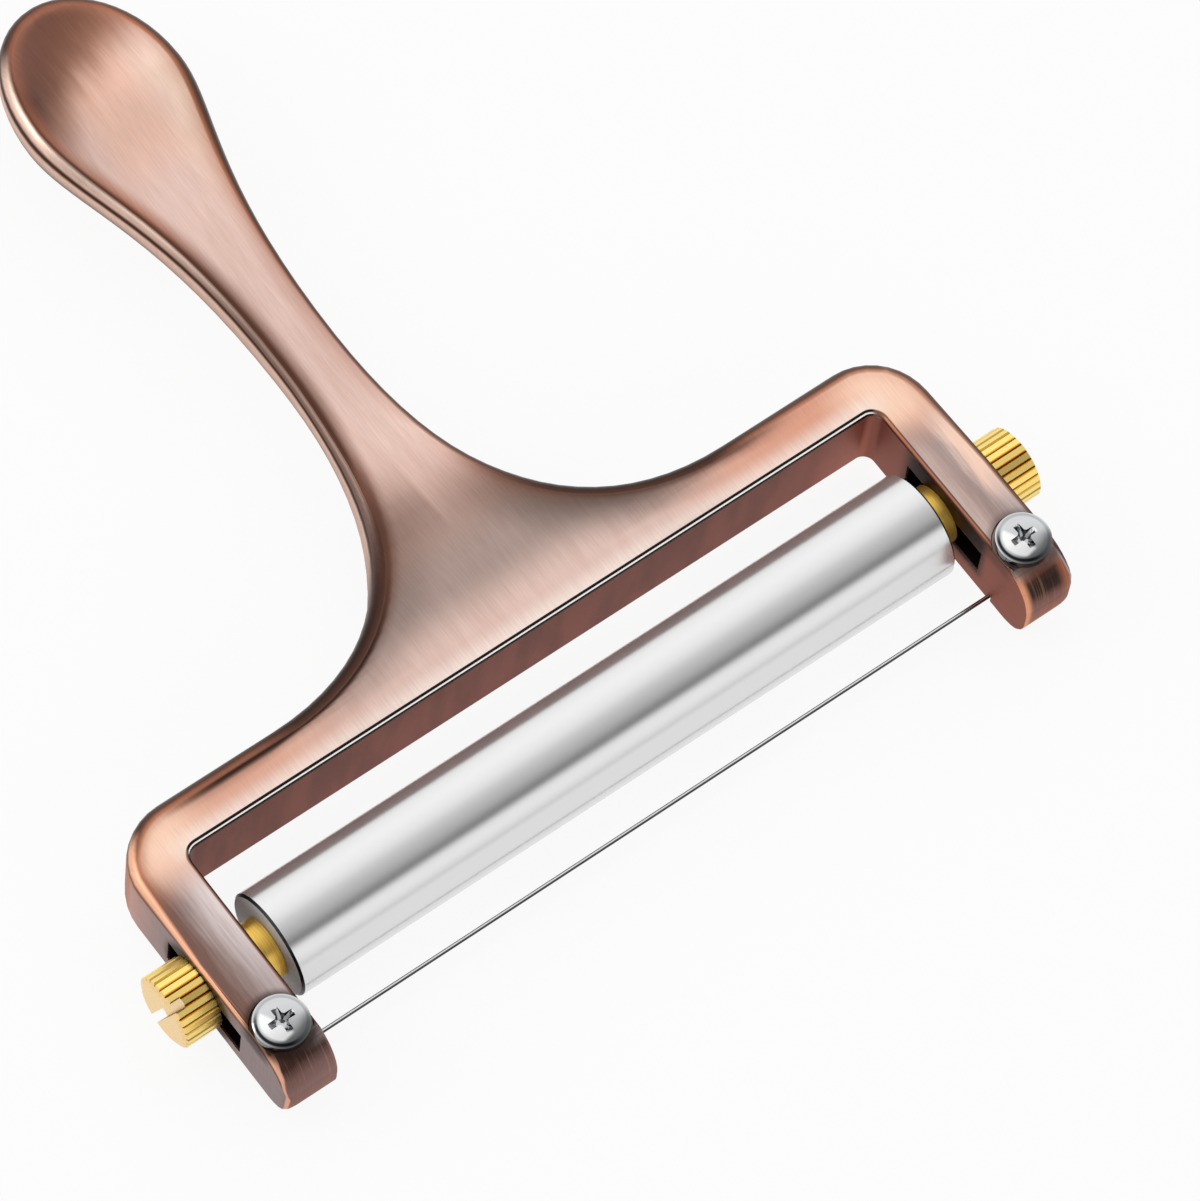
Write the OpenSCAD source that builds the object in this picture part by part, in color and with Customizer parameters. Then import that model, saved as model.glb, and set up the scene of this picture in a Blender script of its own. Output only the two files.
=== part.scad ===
// Hand cheese slicer: a cast yoke with a paddle handle, a roller that sets the
// slice, and a cutting wire that two screws in the arm tips keep taut.
//
// The handle points along +Y and the front of the yoke faces +Z. The origin is
// midway along the slicer, below its centre, at the level of the roller's underside.

/* [Yoke] */
// Clear width between the two arms
mouth_w = 116.5; // [90:0.5:140]
// Width of each arm
arm_w = 8.4; // [8:0.1:11]
// Thickness of the yoke from its flat back to its flat front
yoke_t = 13; // [12:0.1:15]
// From the roller's axis to the near face of the cross bar
bar_gap = 15.1; // [13.5:0.1:20]
// Depth of the cross bar along the handle
bar_d = 8.2; // [6:0.1:12]
// From the tension screws' axes to the ends of the arms
tip_over = 7.4; // [6.5:0.1:9]
// Outer corner radius of the two shoulders
shoulder_r = 9.5; // [6:0.1:12]
// Radius in the two inner corners of the mouth
mouth_r = 1.8; // [1:0.1:3]
// Rounding of the front edges of the bar and the shoulders
edge_r = 2.3; // [1.5:0.1:2.6]
// Rounding of the arms' outer front edges
arm_edge_r = 1.2; // [0.8:0.1:1.6]
// Rounding of the front edge all round the mouth
lip_r = 0.8; // [0.4:0.1:1]
// Rounding of the back edges
back_r = 1.6; // [1:0.1:2.2]
// Rounding of the arm tips towards the front
tip_front_r = 7; // [5:0.1:7.2]
// Rounding of the arm tips towards the back
tip_back_r = 3.8; // [2:0.1:4.5]

/* [Handle] */
// From the far face of the bar to the free end
handle_len = 110.9; // [90:0.1:130]
// Width over both flares where the handle leaves the bar
flare_w = 76; // [60:1:90]
// Width at the waist
waist_w = 10.6; // [9:0.1:14]
// Width of the paddle
paddle_w = 26; // [20:0.5:32]
// From the far face of the bar to the waist
waist_at = 44.7; // [40:0.1:50]
// From the far face of the bar to the widest place of the paddle
paddle_at = 92.7; // [85:0.1:98]

/* [Roller] */
// Outer diameter of the roller
roller_d = 16; // [14:0.5:18]
// Height of the roller's axis above the back of the yoke
axis_h = 6; // [5.5:0.1:6.5]
// Width of the brass collar that shows at each end of the roller
collar_w = 2.8; // [2:0.1:4]
// Diameter of the collar
collar_d = 9; // [8.5:0.1:10]
// Diameter of the journals inside the roller
journal_d = 8; // [7.6:0.1:8.2]
// Length of each journal
journal_len = 12; // [8:0.5:16]

/* [Slots and thumbscrews] */
// Height of the long slots through the arms
slot_h = 5.5; // [5.4:0.1:5.8]
// From the roller's axis to the end of the slot near the handle
slot_up = 7.1; // [6:0.1:8]
// From the roller's axis to the end of the slot near the wire
slot_down = 9.4; // [8.5:0.1:9.6]
// Diameter of the thumbscrews' shanks
thumb_shank_d = 5; // [4:0.1:5.2]
// Diameter over the knurls
knob_d = 11; // [10:0.1:12]
// Length of the knurled head
knob_len = 5.9; // [4.5:0.1:7]
// Knurls round each head
knurl_count = 27; // [20:1:32]
// Depth of the knurls
knurl_deep = 0.42; // [0.2:0.02:0.5]
// Bevel round the outer face
knob_bevel = 0.5; // [0.2:0.05:0.8]
// Width of the coin slot
coin_w = 1.4; // [1.2:0.1:2.4]
// Depth of the coin slot
coin_deep = 1.9; // [1.5:0.1:3]
// Turn of the left screw's coin slot from upright, in degrees
left_coin_turn = 20; // [0:5:175]
// Turn of the right screw's coin slot from upright, in degrees
right_coin_turn = 110; // [0:5:175]

/* [Wire and its tensioner] */
// From the roller's axis to the wire
wire_reach = 12.5; // [12.4:0.1:14]
// Diameter of the cutting wire
wire_d = 0.6; // [0.4:0.05:0.8]
// Height of the wire's axis above the back of the yoke
wire_h = 0.8; // [0.7:0.05:1]
// Radius of the bend that leads the wire up into each nut
wire_bend_r = 1.5; // [1:0.1:1.8]
// Diameter of the ball swaged on each end of the wire
bead_d = 2.2; // [1.8:0.1:2.4]
// Side of the square nuts
nut_w = 4; // [3.8:0.05:4.2]
// Length of the nuts
nut_len = 6.7; // [6:0.1:7]
// Thickness of the nuts' closed ends
nut_end_t = 1.2; // [0.8:0.1:1.5]
// Diameter of the tension screws' shanks
screw_d = 3; // [2.5:0.05:3.1]
// Length of the shanks
screw_len = 5; // [4:0.1:5.3]
// Diameter of the screw heads
head_d = 7.9; // [6:0.1:8.2]
// Height of the heads' straight rims
head_rim_h = 1.4; // [1:0.1:1.6]
// Height of the domes on the heads
head_dome_h = 0.9; // [0.5:0.1:1.2]
// Depth of the spot faces that the heads sit in
spot_deep = 0.4; // [0.2:0.05:0.6]

/* [Clearances] */
// Radial play of the turning pieces in their bores
run_gap = 0.05; // [0.03:0.01:0.09]
// Radial play of the tension screws in the casting
pass_gap = 0.09; // [0.05:0.01:0.1]
// Gap between faces that are clamped or seated
seat_gap = 0.05; // [0.03:0.01:0.1]
// Gap at each end of the roller
end_gap = 0.1; // [0.08:0.01:0.2]
// Gap round the nuts in their pockets
nut_gap = 0.15; // [0.1:0.01:0.2]
// Gap round the wire in its slits
slit_gap = 0.1; // [0.06:0.01:0.15]
// Gap above the nuts at rest, left for more tension
nut_up_gap = 0.3; // [0.2:0.05:0.5]

/* [Hidden] */
$fn = 96;

// Cuts run past the faces that they open by this much
over = 1;

// Places along the slicer, measured from the roller's axis before the lift to the origin
bar_near = bar_gap;
bar_far = bar_gap + bar_d;
tip_end = -wire_reach - tip_over;
handle_end = bar_far + handle_len;
inner_x = mouth_w / 2;
outer_x = inner_x + arm_w;
arm_x = inner_x + arm_w / 2;
mid_y = (handle_end + tip_end) / 2;
lift = roller_d / 2 - axis_h;

// Roller, stub axles and thumbscrews
collar_x = inner_x - seat_gap - collar_w;
roller_half = collar_x - end_gap;
journal_x = collar_x - journal_len;
knob_x = outer_x + seat_gap;
shank_end_share = 0.75;
shank_end_x = collar_x - journal_len * shank_end_share;
roller_bevel = 0.35;
axle_bevel = 0.4;
tap_over = 1.2;

// Nuts and their pockets
pocket_w = nut_w + 2 * nut_gap;
head_z = yoke_t - spot_deep + seat_gap;
pocket_wall = 2.2;
pocket_top = yoke_t - pocket_wall;
nut_top = pocket_top - nut_up_gap;
nut_low = nut_top - nut_len;
slit_top = wire_h + wire_d / 2 + slit_gap / 2;
spot_gap = 0.35;

// Shares of the handle's curves: how far each curve's two pulls reach towards its other end
flare_pull_shares = [0.703, 0.615];
swell_pull_shares = [0.621, 0.198];
end_pull_shares = [0.577, 0.538];
// Steps along the tips, the arms, the shoulders, the handle's three curves and each rounding
tip_steps = 9;
arm_steps = 2;
shoulder_steps = 9;
flare_steps = 22;
swell_steps = 18;
end_steps = 14;
rim_steps = 5;
back_steps = 7;
crown_steps = 4;
// Last point of the end curve, short of the middle line
end_stop_share = 0.985;
// The roundings start to widen this many shoulder radii below the far face of the bar
edge_blend_shares = [2.2, 0.8];
// At the arm tips a rounding takes no more than this share of the height that is left
tip_rim_share = 0.45;
// Exponent of the rounded back: 2 is an ellipse, more is squarer
belly_power = 2.3;
// From the shoulders on, a section's middle lies towards the wire by this share of its width
spine_lag_share = 0.05;

// Levels of the handle: share of its length, then shares of the yoke's thickness for the
// front edge's drop, the top and the foot of the side, the back and the crown, then the
// share of the edge rounding, and how far the rounded back reaches to the middle
grip_shares = [
    [0.00, 0.000, 0.823, 0.123, 0.000, 0.000, 1.00, 0.00],
    [0.10, 0.046, 0.715, 0.330, 0.060, 0.002, 0.95, 0.45],
    [0.20, 0.160, 0.620, 0.520, 0.190, 0.012, 0.75, 0.90],
    [0.29, 0.215, 0.615, 0.590, 0.250, 0.022, 0.57, 0.96],
    [0.40, 0.190, 0.615, 0.595, 0.260, 0.025, 0.55, 0.96],
    [0.56, 0.146, 0.645, 0.620, 0.260, 0.030, 0.65, 0.96],
    [0.72, 0.130, 0.660, 0.635, 0.255, 0.035, 0.85, 0.96],
    [0.84, 0.050, 0.705, 0.680, 0.260, 0.040, 1.00, 0.96],
    [1.00, 0.110, 0.690, 0.665, 0.430, 0.004, 1.00, 0.96]
];
DROP = 1;
TOP = 2;
FOOT = 3;
BACK = 4;
CROWN = 5;
RIM = 6;
BELLY = 7;

// Point of a cubic curve between two ends with two pulls
function curve(a, pull_a, pull_b, b, t) =
    (1 - t) ^ 3 * a + 3 * t * (1 - t) ^ 2 * pull_a + 3 * t ^ 2 * (1 - t) * pull_b + t ^ 3 * b;

// Slope of a column of the levels at one of its rows
function slope(column, row) =
    row == 0 ? 0 :
    let (
        before = grip_shares[row - 1],
        after = grip_shares[min(row + 1, len(grip_shares) - 1)]
    )
    (after[column] - before[column]) / (after[0] - before[0]);

// A column's value at a share of the handle's length, on a smooth curve through its rows
function level(column, share, row = 0) =
    share > grip_shares[row + 1][0] && row < len(grip_shares) - 2
        ? level(column, share, row + 1)
        : let (
            step = grip_shares[row + 1][0] - grip_shares[row][0],
            t = (share - grip_shares[row][0]) / step,
            from = grip_shares[row][column],
            to = grip_shares[row + 1][column]
        )
        from * (1 + 2 * t) * (1 - t) ^ 2 + to * (3 - 2 * t) * t ^ 2
            + step * t * (1 - t) * ((1 - t) * slope(column, row) - t * slope(column, row + 1));

// Corners of the three handle curves, on the right half of the outline
flare_a = [flare_w / 2, bar_far];
waist_p = [waist_w / 2, bar_far + waist_at];
paddle_p = [paddle_w / 2, bar_far + paddle_at];
end_p = [0, handle_end];
flare_span = waist_p - flare_a;
swell_span = paddle_p - waist_p;
end_span = end_p - paddle_p;

function flare_point(t) = curve(
    flare_a, flare_a + [flare_span.x * flare_pull_shares[0], 0],
    waist_p - [0, flare_span.y * flare_pull_shares[1]], waist_p, t);
function swell_point(t) = curve(
    waist_p, waist_p + [0, swell_span.y * swell_pull_shares[0]],
    paddle_p - [0, swell_span.y * swell_pull_shares[1]], paddle_p, t);
function end_point(t) = curve(
    paddle_p, paddle_p + [0, end_span.y * end_pull_shares[0]],
    end_p - [end_span.x * end_pull_shares[1], 0], end_p, t);

// How far a quarter circle stands back from its crown at a distance from where it starts
function round_off(r, from_start) = from_start > 0 ? r - sqrt(max(r ^ 2 - from_start ^ 2, 0)) : 0;

// Right half of the outline: tip, arm, shoulder, bar, flare, handle and round end
shoulder_y = bar_far - shoulder_r;
tip_round_y = tip_end + tip_front_r;
outline = concat(
    [for (i = [0:tip_steps])
        let (y = tip_round_y - tip_front_r * cos(90 * i / tip_steps))
        [outer_x - round_off(arm_edge_r, tip_end + arm_edge_r - y), y]],
    [for (i = [1:arm_steps]) [outer_x, tip_round_y + (shoulder_y - tip_round_y) * i / arm_steps]],
    [for (i = [1:shoulder_steps])
        [outer_x - shoulder_r, shoulder_y]
            + shoulder_r * [cos(90 * i / shoulder_steps), sin(90 * i / shoulder_steps)]],
    [for (i = [0:flare_steps]) flare_point(i / flare_steps)],
    [for (i = [1:swell_steps]) swell_point(i / swell_steps)],
    [for (i = [1:end_steps]) end_point(end_stop_share * i / end_steps)]
);

function unit(v) = v / norm(v);
// Direction into the metal at a point of the outline: straight across on the tips and arms
function inward(i) =
    let (
        before = outline[max(i - 1, 0)],
        after = i == len(outline) - 1 ? [-outline[i].x, outline[i].y] : outline[i + 1],
        along = unit(after - before)
    )
    outline[i].y < shoulder_y ? [-1, 0] : [-along.y, along.x];

function ease(t) = let (u = max(0, min(1, t))) u * u * (3 - 2 * u);
function superellipse(angle, power) =
    [max(cos(angle), 0) ^ (2 / power), max(sin(angle), 0) ^ (2 / power)];

// Half a section, from the middle of the front over the edge to the middle of the back
function half_section(i) =
    let (
        p = outline[i],
        in_dir = inward(i),
        share = max(0, p.y - bar_far) / handle_len,
        blend = ease((p.y - bar_far + edge_blend_shares[0] * shoulder_r)
            / ((edge_blend_shares[0] - edge_blend_shares[1]) * shoulder_r)),
        rim = (arm_edge_r + (edge_r - arm_edge_r) * blend) * level(RIM, share),
        front_z = yoke_t * (1 - level(DROP, share)) - round_off(tip_front_r, tip_round_y - p.y),
        back_z = yoke_t * level(BACK, share) + round_off(tip_back_r, tip_end + tip_back_r - p.y),
        round_room = tip_rim_share * (front_z - back_z),
        top_z = share > 0 ? yoke_t * level(TOP, share) : front_z - min(rim, round_room),
        foot_z = share > 0 ? yoke_t * level(FOOT, share) : back_z + min(back_r, round_room),
        belly = level(BELLY, share),
        power = 2 + (belly_power - 2) * belly,
        q = p + in_dir * rim,
        crown = yoke_t * level(CROWN, share),
        lag = spine_lag_share * (1 - belly) * ease((p.y - shoulder_y) / shoulder_r),
        spine = [0, q.y - lag * q.x],
        back_end = (p + in_dir * back_r) * (1 - belly) + spine * belly
    )
    concat(
        [for (k = [0:crown_steps])
            let (u = k / crown_steps, xy = spine + (q - spine) * u)
            [xy.x, xy.y, front_z + crown * (1 - u * u)]],
        [for (k = [1:rim_steps])
            let (a = 90 * k / rim_steps, xy = q + (p - q) * sin(a))
            [xy.x, xy.y, top_z + (front_z - top_z) * cos(a)]],
        [for (k = [0:back_steps])
            let (s = superellipse(90 * k / back_steps, power), xy = back_end + (p - back_end) * s[0])
            [xy.x, xy.y, foot_z - (foot_z - back_z) * s[1]]],
        [[0, spine.y, back_z]]
    );

function flipped(p) = [-p.x, p.y, p.z];
// A whole section: the right half, then the left half back to the front
function section(i) =
    let (half = half_section(i), n = len(half))
    concat(half, [for (k = [n - 2:-1:1]) flipped(half[k])]);

half_n = crown_steps + rim_steps + back_steps + 3;
ring_n = 2 * half_n - 2;
ring_count = len(outline);

// The casting without its openings, as a skin over all sections. At the arm tips it closes
// with a flat face, fanned from its middle, and at the free end side to side.
module casting_skin() {
    last = (ring_count - 1) * ring_n;
    apex = ring_count * ring_n;
    polyhedron(
        points = concat(
            [for (i = [0:ring_count - 1]) each section(i)],
            [[0, tip_end, (yoke_t - tip_front_r + tip_back_r) / 2]]),
        faces = concat(
            [for (k = [0:ring_n - 1]) [k, (k + 1) % ring_n, apex]],
            [for (i = [0:ring_count - 2], k = [0:ring_n - 1])
                let (a = i * ring_n + k, b = i * ring_n + (k + 1) % ring_n)
                each [[a, b + ring_n, b], [a, a + ring_n, b + ring_n]]],
            [for (k = [0:half_n - 2])
                let (right = [k, k + 1], left = [(ring_n - k) % ring_n, ring_n - k - 1])
                each concat(
                    k > 0 ? [[last + right[0], last + left[0], last + right[1]]] : [],
                    k < half_n - 2 ? [[last + left[0], last + left[1], last + right[1]]] : [])]
        )
    );
}

// The mouth between the arms, with its two inner corners rounded
module mouth() {
    corner_x = inner_x - mouth_r;
    corner_y = bar_near - mouth_r;
    low_y = tip_end - over;
    translate([0, 0, -over]) linear_extrude(yoke_t + 2 * over) {
        translate([-inner_x, low_y]) square([mouth_w, corner_y - low_y]);
        translate([-corner_x, low_y]) square([2 * corner_x, bar_near - low_y]);
        for (side = [-1, 1]) translate([side * corner_x, corner_y]) circle(mouth_r);
    }
}

// What a rounded edge takes away between a wall at x = 0 and the front of the yoke
module lip_outline() {
    foot_z = yoke_t - lip_r;
    difference() {
        translate([-over, foot_z]) square([lip_r + over, lip_r + over]);
        translate([lip_r, foot_z]) circle(lip_r);
    }
}

// Rounds the right half of the mouth's front edge: along the bar, round the corner, down the arm
module mouth_lip() {
    corner_x = inner_x - mouth_r;
    corner_y = bar_near - mouth_r;
    translate([0, bar_near, 0]) rotate([90, 0, 90]) linear_extrude(corner_x) lip_outline();
    translate([corner_x, corner_y, 0])
        rotate_extrude(angle = 90) translate([mouth_r, 0]) lip_outline();
    translate([inner_x, corner_y, 0]) rotate([90, 0, 0])
        linear_extrude(corner_y - tip_end + over) lip_outline();
}

// What is cut out of one arm: slot, nut pocket, screw hole, spot face and wire slit
module arm_cuts(side) {
    slit_w = wire_d + 2 * slit_gap;
    translate([side * arm_x - arm_w / 2 - over, -slot_down, axis_h - slot_h / 2])
        cube([arm_w + 2 * over, slot_down + slot_up, slot_h]);
    translate([side * arm_x, -wire_reach, 0]) {
        translate([-pocket_w / 2, -pocket_w / 2, -over]) cube([pocket_w, pocket_w, pocket_top + over]);
        cylinder(h = yoke_t + over, r = screw_d / 2 + pass_gap);
        translate([0, 0, yoke_t - spot_deep]) cylinder(h = spot_deep + over, r = head_d / 2 + spot_gap);
        rotate([0, 0, side > 0 ? 180 : 0]) translate([0, -slit_w / 2, -over])
            cube([arm_w / 2 + over, slit_w, slit_top + over]);
    }
}

// One casting: handle, flares, cross bar and both arms
module frame() {
    color("rosybrown") difference() {
        casting_skin();
        mouth();
        mouth_lip();
        on_left() mouth_lip();
        for (side = [-1, 1]) arm_cuts(side);
    }
}

// A ring turned about the X axis from points given as [place along X, radius]
module turned(points) {
    rotate([0, 90, 0]) rotate_extrude() polygon([for (p = points) [p[1], p[0]]]);
}

// The thick tube that rolls on the journals
module roller_tube() {
    bore_r = journal_d / 2 + run_gap;
    roller_r = roller_d / 2;
    color("gainsboro") translate([0, 0, axis_h]) turned([
        [-roller_half, bore_r],
        [roller_half, bore_r],
        [roller_half, roller_r - roller_bevel],
        [roller_half - roller_bevel, roller_r],
        [-roller_half + roller_bevel, roller_r],
        [-roller_half, roller_r - roller_bevel]
    ]);
}

// Brass stub axle on the right: a collar against the arm, a journal, and a tapped bore
module stub_axle() {
    tap_r = thumb_shank_d / 2 + run_gap;
    journal_r = journal_d / 2;
    tap_end_x = shank_end_x - tap_over;
    color("goldenrod") translate([0, 0, axis_h]) turned([
        [journal_x, 0],
        [tap_end_x, 0],
        [tap_end_x, tap_r],
        [collar_x + collar_w, tap_r],
        [collar_x + collar_w, collar_d / 2],
        [collar_x, collar_d / 2],
        [collar_x, journal_r],
        [journal_x + axle_bevel, journal_r],
        [journal_x, journal_r - axle_bevel]
    ]);
}

// Outline of a knurled head: ridges with flat crests and round the rim
module knurl_outline() {
    pitch = 360 / knurl_count;
    crest_share = 0.3;
    low_r = knob_d / 2 - knurl_deep;
    polygon([for (i = [0:knurl_count - 1]) each [
        for (c = [[-crest_share, knob_d / 2], [crest_share, knob_d / 2], [0.5, low_r]])
            c[1] * [cos(pitch * (i + c[0])), sin(pitch * (i + c[0]))]
    ]]);
}

// Thumbscrew on the right: shank through the slot, knurled head, and a turned coin slot
module thumbscrew(coin_turn) {
    face_x = knob_x + knob_len;
    color("gold") translate([0, 0, axis_h]) {
        difference() {
            intersection() {
                translate([knob_x, 0, 0]) rotate([0, 90, 0]) linear_extrude(knob_len) knurl_outline();
                turned([
                    [knob_x, 0],
                    [face_x, 0],
                    [face_x, knob_d / 2 - knurl_deep - knob_bevel],
                    [face_x - knob_bevel - knurl_deep, knob_d / 2 + over],
                    [knob_x, knob_d / 2 + over]
                ]);
            }
            rotate([coin_turn, 0, 0])
                translate([face_x - coin_deep, -coin_w / 2, -knob_d / 2 - over])
                    cube([coin_deep + over, coin_w, knob_d + 2 * over]);
        }
        turned([
            [shank_end_x, 0],
            [knob_x + over, 0],
            [knob_x + over, thumb_shank_d / 2],
            [shank_end_x + axle_bevel, thumb_shank_d / 2],
            [shank_end_x, thumb_shank_d / 2 - axle_bevel]
        ]);
    }
}

// Domed screw head with a rim, seen from the side, and its shank
module tension_screw() {
    rim_r = head_d / 2;
    dome_r = (rim_r ^ 2 + head_dome_h ^ 2) / (2 * head_dome_h);
    rim_bevel = 0.2;
    recess_w = 1;
    recess_len = 4.4;
    recess_deep = 1.8;
    recess_core_r = 0.9;
    recess_foot_r = 0.7;
    recess_flare = (recess_len / 2 - recess_foot_r) / recess_deep;
    top_z = head_rim_h + head_dome_h;
    color("silver") translate([0, -wire_reach, head_z]) difference() {
        union() {
            translate([0, 0, -screw_len]) cylinder(h = screw_len + head_rim_h / 2, r = screw_d / 2);
            rotate_extrude() polygon([
                [0, 0],
                [rim_r - rim_bevel, 0],
                [rim_r, rim_bevel],
                [rim_r, head_rim_h],
                [0, head_rim_h]
            ]);
            intersection() {
                translate([0, 0, top_z - dome_r]) sphere(dome_r);
                translate([0, 0, head_rim_h / 2]) cylinder(h = top_z, r = rim_r);
            }
        }
        translate([0, 0, top_z - recess_deep]) intersection() {
            union() {
                for (turn = [0, 90]) rotate([0, 0, turn])
                    translate([-recess_len, -recess_w / 2, 0])
                        cube([2 * recess_len, recess_w, recess_deep + over]);
                cylinder(h = recess_deep + over, r = recess_core_r);
            }
            cylinder(h = recess_deep + over, r1 = recess_foot_r,
                r2 = recess_foot_r + recess_flare * (recess_deep + over));
        }
    }
}

// Square nut that the tension screw draws up, closed at its lower end round the wire
module wire_nut() {
    color("darkgoldenrod") translate([0, -wire_reach, nut_low]) difference() {
        translate([-nut_w / 2, -nut_w / 2, 0]) cube([nut_w, nut_w, nut_len]);
        translate([0, 0, nut_end_t]) cylinder(h = nut_len, r = screw_d / 2 + run_gap);
        translate([0, 0, -over]) cylinder(h = nut_end_t + 2 * over, r = wire_d / 2 + slit_gap);
    }
}

// The wire: straight across the mouth, up a bend at each arm, and a ball inside each nut
module cutting_wire() {
    bend_x = arm_x - wire_bend_r;
    bend_top = wire_h + wire_bend_r;
    bead_z = nut_low + nut_end_t + bead_d / 2 + seat_gap;
    color("lightgray") translate([0, -wire_reach, 0]) {
        translate([-bend_x, 0, wire_h]) rotate([0, 90, 0]) cylinder(h = 2 * bend_x, r = wire_d / 2);
        for (side = [0, 1]) mirror([side, 0, 0]) {
            translate([bend_x, 0, bend_top]) rotate([-90, 0, 0])
                rotate_extrude(angle = 90) translate([wire_bend_r, 0]) circle(wire_d / 2);
            translate([arm_x, 0, bend_top]) cylinder(h = bead_z - bend_top, r = wire_d / 2);
            translate([arm_x, 0, bead_z]) sphere(bead_d / 2);
        }
    }
}

// Puts a piece where the origin wants it
module placed() {
    translate([0, -mid_y, lift]) children();
}

module on_left() {
    mirror([1, 0, 0]) children();
}

module left_stub_axle() placed() on_left() stub_axle();
module right_stub_axle() placed() stub_axle();
module left_thumbscrew() placed() on_left() thumbscrew(left_coin_turn);
module right_thumbscrew() placed() thumbscrew(right_coin_turn);
module left_tension_screw() placed() translate([-arm_x, 0, 0]) tension_screw();
module right_tension_screw() placed() translate([arm_x, 0, 0]) tension_screw();
module left_wire_nut() placed() translate([-arm_x, 0, 0]) wire_nut();
module right_wire_nut() placed() translate([arm_x, 0, 0]) wire_nut();

placed() frame();
placed() roller_tube();
left_stub_axle();
right_stub_axle();
left_thumbscrew();
right_thumbscrew();
left_tension_screw();
right_tension_screw();
left_wire_nut();
right_wire_nut();
placed() cutting_wire();
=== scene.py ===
# %% [markdown]
# # A hand cheese slicer
#
# The slicer is one brushed, copper-plated casting with a paddle handle. Between its arms an
# aluminium roller turns on brass stub axles, and a steel wire is kept taut by two screws in
# the arm tips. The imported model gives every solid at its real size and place. This script
# dresses those solids: it eases the casting's edges, gives each metal its finish, and sets
# up the camera, the light and the floor.

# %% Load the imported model
import math

import bmesh
import bpy
from mathutils import Matrix, Vector
from mathutils.kdtree import KDTree


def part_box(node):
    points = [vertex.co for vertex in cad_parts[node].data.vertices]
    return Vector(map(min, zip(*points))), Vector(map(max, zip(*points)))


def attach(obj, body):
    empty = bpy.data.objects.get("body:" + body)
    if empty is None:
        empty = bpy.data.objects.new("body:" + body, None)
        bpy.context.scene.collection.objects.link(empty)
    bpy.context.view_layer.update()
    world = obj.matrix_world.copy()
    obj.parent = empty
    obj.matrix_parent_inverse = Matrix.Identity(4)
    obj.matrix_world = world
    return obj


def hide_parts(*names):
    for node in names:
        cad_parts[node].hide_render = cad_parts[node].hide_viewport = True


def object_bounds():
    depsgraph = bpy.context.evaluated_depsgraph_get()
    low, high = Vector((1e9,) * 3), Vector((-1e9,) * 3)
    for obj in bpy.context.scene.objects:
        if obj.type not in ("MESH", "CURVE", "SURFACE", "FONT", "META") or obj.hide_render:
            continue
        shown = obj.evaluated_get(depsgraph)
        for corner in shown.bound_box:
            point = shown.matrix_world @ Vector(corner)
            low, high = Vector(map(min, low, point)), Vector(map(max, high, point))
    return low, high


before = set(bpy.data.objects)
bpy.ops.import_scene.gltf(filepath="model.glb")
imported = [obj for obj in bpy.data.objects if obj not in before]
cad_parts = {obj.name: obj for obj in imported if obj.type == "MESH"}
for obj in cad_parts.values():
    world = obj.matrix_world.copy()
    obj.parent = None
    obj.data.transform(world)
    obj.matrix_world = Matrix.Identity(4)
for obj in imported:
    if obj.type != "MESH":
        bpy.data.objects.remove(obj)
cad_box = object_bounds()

MM = 0.001
print("CAD box", cad_box)

# %% [markdown]
# ## Landmarks
#
# Places are taken from the boxes of the solids, so that they stay right if a size changes.
# The roller's box gives its axis, and the casting's box gives the back plane of the yoke.

# %% Landmarks
roller_low, roller_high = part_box("roller_tube")
frame_low, frame_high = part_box("frame")
axis_y = (roller_low[1] + roller_high[1]) / 2
axis_z = (roller_low[2] + roller_high[2]) / 2
back_z = frame_low[2]
print("roller's axis", axis_y, axis_z, "back of the yoke", back_z)

# %% [markdown]
# ## Camera
#
# The photograph was taken with a long lens from above, off the left arm's side. The view
# directions and the distance come from matching the roller, the screws and the yoke to the
# picture, and the lens follows from the picture's width. The eye's place is in millimetres
# from the roller's axis and from the back of the yoke.

# %% Camera
FOCAL_PX = 8006.0
PHOTO_W = 1200.0
SENSOR = 36.0
EYE_MM = (-334.7, -326.3, 984.6)
eye = Vector((EYE_MM[0] * MM, axis_y + EYE_MM[1] * MM, back_z + EYE_MM[2] * MM))
right = Vector((0.7985, -0.5974, 0.0740)).normalized()
down = Vector((-0.5117, -0.7383, -0.4393))
down = (down - right * down.dot(right)).normalized()
ahead = right.cross(down)

camera_data = bpy.data.cameras.new("camera")
camera_data.sensor_fit = "HORIZONTAL"
camera_data.sensor_width = SENSOR
camera_data.lens = SENSOR * FOCAL_PX / PHOTO_W
camera_data.clip_end = 10.0
camera = bpy.data.objects.new("camera", camera_data)
turn = Matrix((right, -down, -ahead)).transposed()
camera.matrix_world = Matrix.Translation(eye) @ turn.to_4x4()
bpy.context.scene.collection.objects.link(camera)
bpy.context.scene.camera = camera
print("lens", camera_data.lens, "looking along", ahead)

# %% [markdown]
# ## Colours and nodes
#
# Colours are written as the sRGB hex values that a colour picker shows, and one function
# turns them to the linear values that a renderer adds up. One more function adds a node to a
# material and joins it to what feeds it, and a third one starts a metal.


# %% Colours and nodes
def linear(hex_code):
    """The linear colour of an sRGB hex value such as "c08060"."""
    out = []
    for i in (0, 2, 4):
        v = int(hex_code[i:i + 2], 16) / 255
        out.append(v / 12.92 if v <= 0.04045 else ((v + 0.055) / 1.055) ** 2.4)
    return (*out, 1.0)


def add(tree, kind, feeds=None, **settings):
    """A node of one kind, its inputs fed by sockets or values, its own settings set."""
    made = tree.nodes.new(kind)
    for name, value in settings.items():
        setattr(made, name, value)
    for name, value in (feeds or {}).items():
        if isinstance(value, bpy.types.NodeSocket):
            tree.links.new(value, made.inputs[name])
        else:
            made.inputs[name].default_value = value
    return made


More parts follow.
